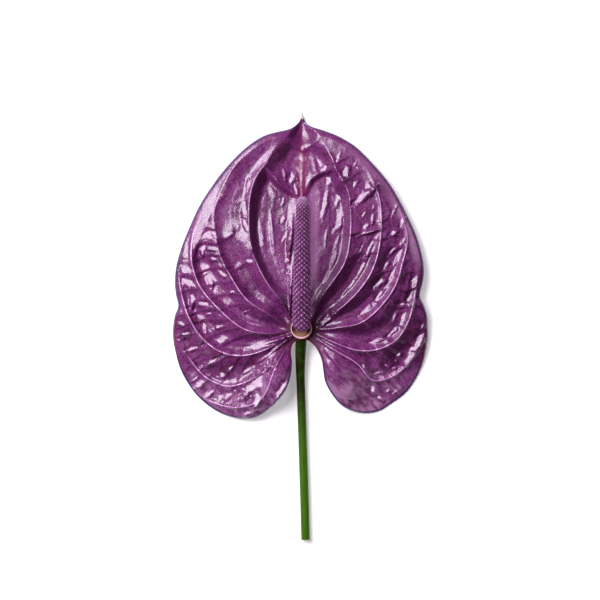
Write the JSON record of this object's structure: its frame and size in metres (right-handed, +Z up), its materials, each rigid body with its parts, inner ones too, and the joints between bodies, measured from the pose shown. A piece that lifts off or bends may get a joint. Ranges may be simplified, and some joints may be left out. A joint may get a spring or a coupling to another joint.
{
  "type": "anthurium cut flower",
  "caption": "Cut anthurium lying face up: glossy purple heart-shaped spathe with raised veins, a floret-covered spadix in a pale receptacle, and a slim green stem.",
  "frame": {"origin": "centre of the flower's outline on the surface it lies on", "axes": "+Z up from the surface, +Y along the flower towards the tip of the spathe, +X to its right seen from above"},
  "size_m": [0.1308, 0.2197, 0.0436],
  "materials": {
    "spathe": "waxy gloss",
    "spadix": "satin",
    "receptacle": "satin",
    "stem": "satin"
  },
  "bodies": {
    "root": {"spathe": "spathe", "spadix": "spadix", "receptacle": "receptacle", "stem": "stem"}
  },
  "joints": []
}
